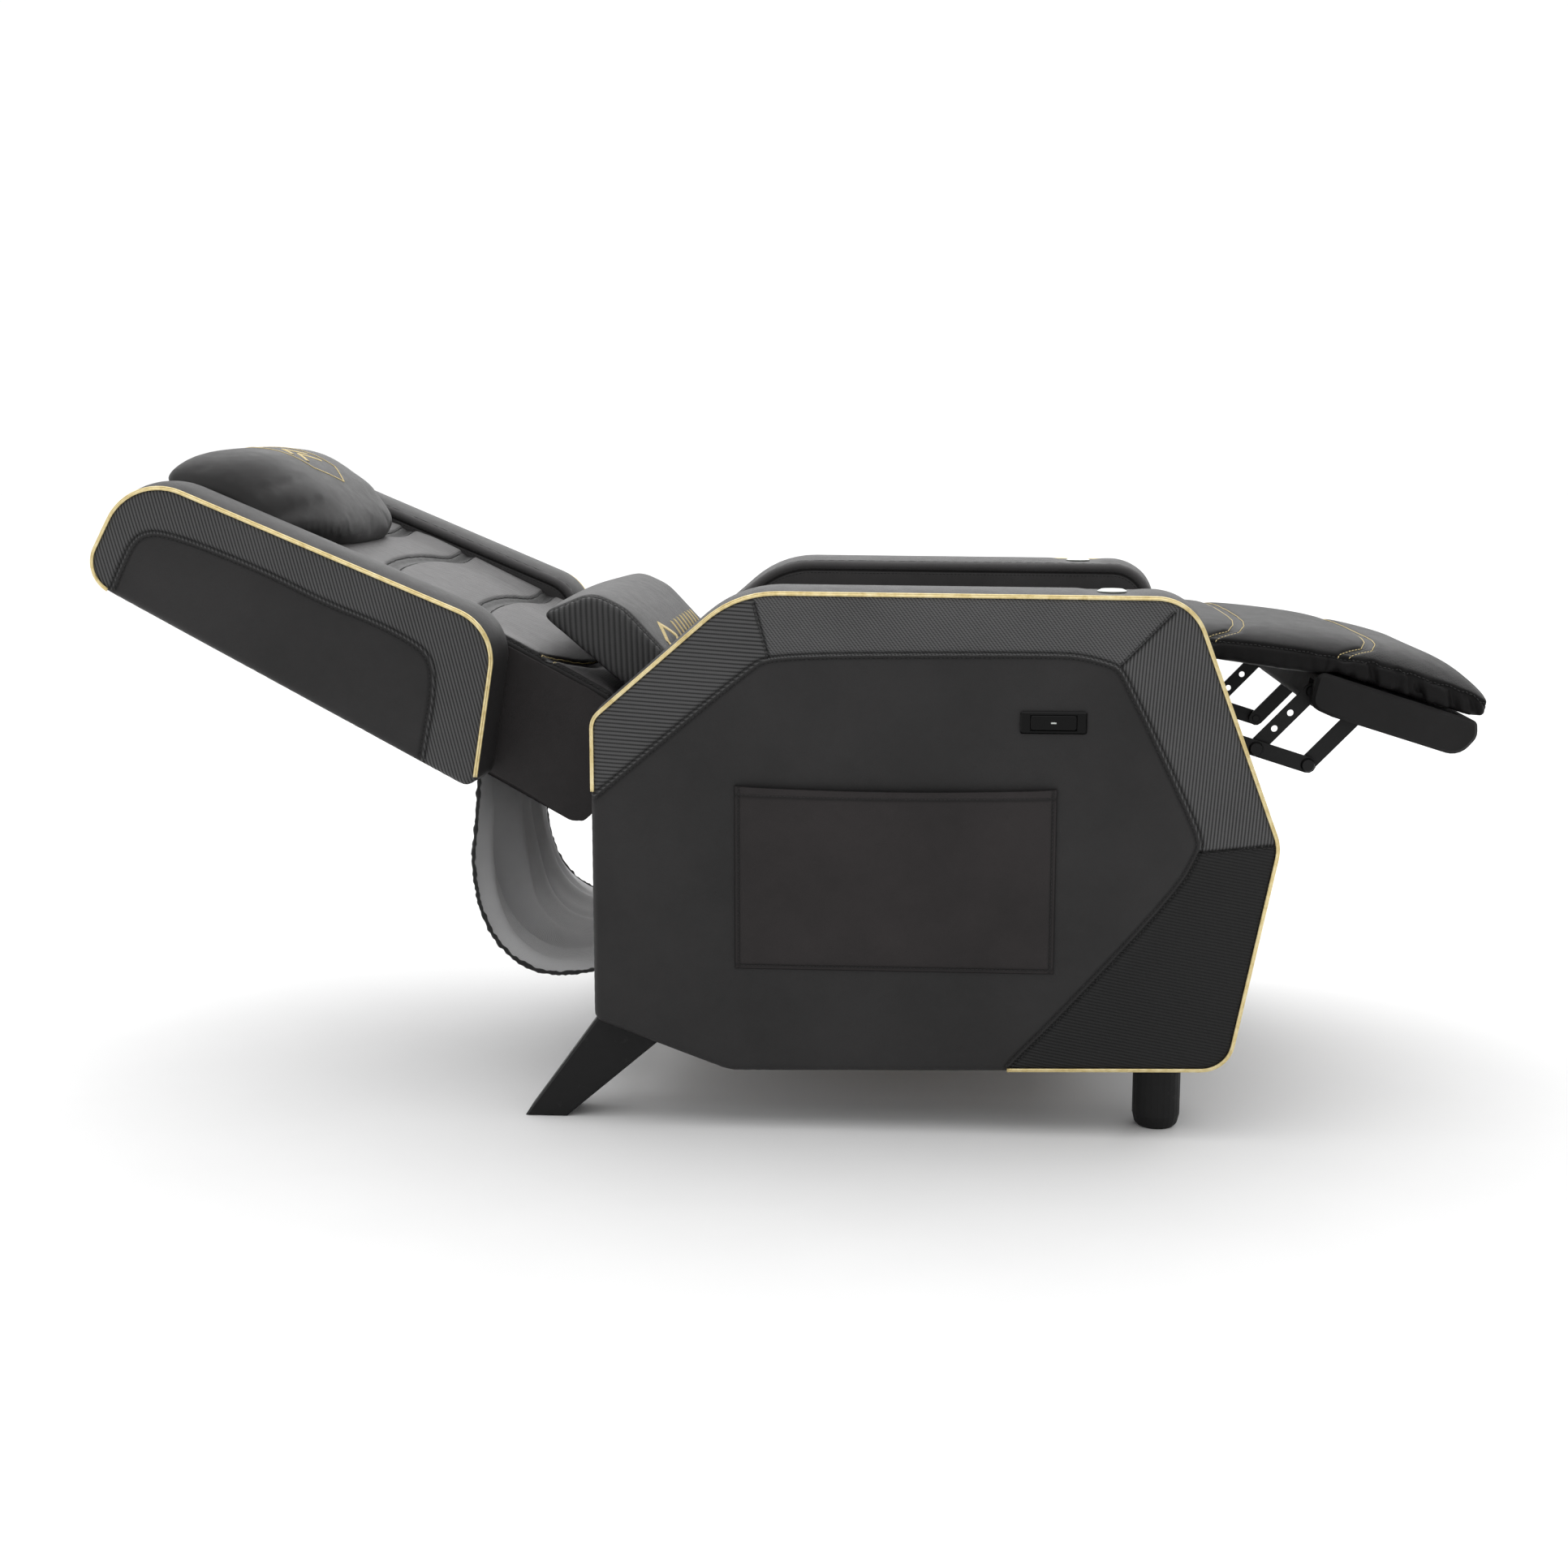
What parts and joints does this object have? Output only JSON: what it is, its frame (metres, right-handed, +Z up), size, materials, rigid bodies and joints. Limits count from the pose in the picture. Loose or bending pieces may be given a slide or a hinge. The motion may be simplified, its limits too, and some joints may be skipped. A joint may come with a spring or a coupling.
{
  "type": "gaming recliner chair",
  "caption": "Single-seat upholstered gaming recliner with padded arms, winged tilting back, head and lumbar pillows, side pocket and linked folding footrest.",
  "frame": {"origin": "middle of the bounding box, on the floor under the feet", "axes": "+X forward towards the footrest, +Y to the sitter's left, +Z up"},
  "size_m": [1.6929, 0.7898, 0.8157],
  "materials": {
    "leather": "satin",
    "ribbed_vinyl": "satin",
    "gold_piping": "satin",
    "black_steel": "satin",
    "black_leg": "matte",
    "plywood": "matte",
    "webbing": "matte",
    "gloss_plastic": "gloss",
    "grey_cloth": "matte",
    "silver_cap": "satin"
  },
  "bodies": {
    "base": {"arm_right": "leather", "arm_left": "leather", "arm_board_right": "plywood", "arm_board_left": "plywood", "arm_piping_right": "gold_piping", "arm_piping_left": "gold_piping", "arm_cap_right": "silver_cap", "arm_cap_left": "silver_cap", "side_pocket": "leather", "button_bezel": "gloss_plastic", "release_switch": "gloss_plastic", "base_plate_right": "black_steel", "base_plate_left": "black_steel", "back_pivot_pin_right": "black_steel", "back_pivot_pin_left": "black_steel", "seat_pivot_pin_right": "black_steel", "seat_pivot_pin_left": "black_steel", "front_rail": "plywood", "rear_rail": "plywood", "rear_leg_right": "black_leg", "rear_leg_left": "black_leg", "front_leg_right": "black_leg", "front_leg_left": "black_leg", "dust_cloth": "grey_cloth"},
    "button": {"release_button": "gloss_plastic"},
    "seat": {"seat_frame": "plywood", "seat_webbing": "webbing", "seat_cushion": "leather", "seat_plate_right": "black_steel", "seat_plate_left": "black_steel", "long_link_pin_right": "black_steel", "long_link_pin_left": "black_steel", "knee_pad": "leather"},
    "back": {"back_rear_panel": "leather", "back_frame": "plywood", "back_webbing": "webbing", "back_cushion": "leather", "wing_right": "ribbed_vinyl", "wing_left": "ribbed_vinyl", "wing_piping_right": "gold_piping", "wing_piping_left": "gold_piping", "head_pillow": "leather", "lumbar_pillow": "leather", "back_bracket_right": "black_steel", "back_bracket_left": "black_steel"},
    "footrest": {"footrest_board": "leather", "footrest_pad": "leather", "footrest_bracket_right": "black_steel", "footrest_bracket_left": "black_steel"},
    "long_links": {"long_link_right": "black_steel", "long_link_left": "black_steel", "link_cross_tube": "black_steel", "rear_link_bolt_right": "black_steel", "rear_link_bolt_left": "black_steel", "front_link_bolt_right": "black_steel", "front_link_bolt_left": "black_steel"},
    "rear_links": {"rear_link_right": "black_steel", "rear_link_left": "black_steel"},
    "front_links": {"front_link_right": "black_steel", "front_link_left": "black_steel"}
  },
  "joints": [
    {"name": "back_recline", "type": "hinge", "parent": "base", "child": "back", "pos_m": [-0.214, 0.0041, 0.44], "axis": [0, 1, 0], "range_deg": [0, 52], "deforming": ["dust_cloth"]},
    {"name": "seat_tilt", "type": "hinge", "parent": "base", "child": "seat", "pos_m": [-0.034, 0.0041, 0.38], "axis": [0, 1, 0], "range_deg": [0, 12]},
    {"name": "footrest_fold", "type": "hinge", "parent": "seat", "child": "footrest", "pos_m": [0.536, 0.0041, 0.6], "axis": [0, 1, 0], "range_deg": [0, 60], "deforming": ["knee_pad"]},
    {"name": "long_link_swing", "type": "hinge", "parent": "seat", "child": "long_links", "pos_m": [0.469, 0.0041, 0.529], "axis": [0, 1, 0], "range_deg": [0, 60]},
    {"name": "rear_link_swing", "type": "hinge", "parent": "long_links", "child": "rear_links", "pos_m": [0.575, 0.0041, 0.453], "axis": [0, 1, 0], "range_deg": [-60, 0]},
    {"name": "front_link_swing", "type": "hinge", "parent": "long_links", "child": "front_links", "pos_m": [0.639, 0.0041, 0.433], "axis": [0, 1, 0], "range_deg": [-60, 0]},
    {"name": "release_press", "type": "slide", "parent": "base", "child": "button", "axis": [0, 1, 0], "range_m": [0, 0.004], "stiffness_N_per_m": 600, "springref_m": -0.002}
  ],
  "couplings": [
    {"joint": "seat_tilt", "follows": "back_recline", "ratio": 0.23077},
    {"joint": "long_link_swing", "follows": "footrest_fold", "ratio": 1},
    {"joint": "rear_link_swing", "follows": "footrest_fold", "ratio": -1},
    {"joint": "front_link_swing", "follows": "footrest_fold", "ratio": -1}
  ]
}
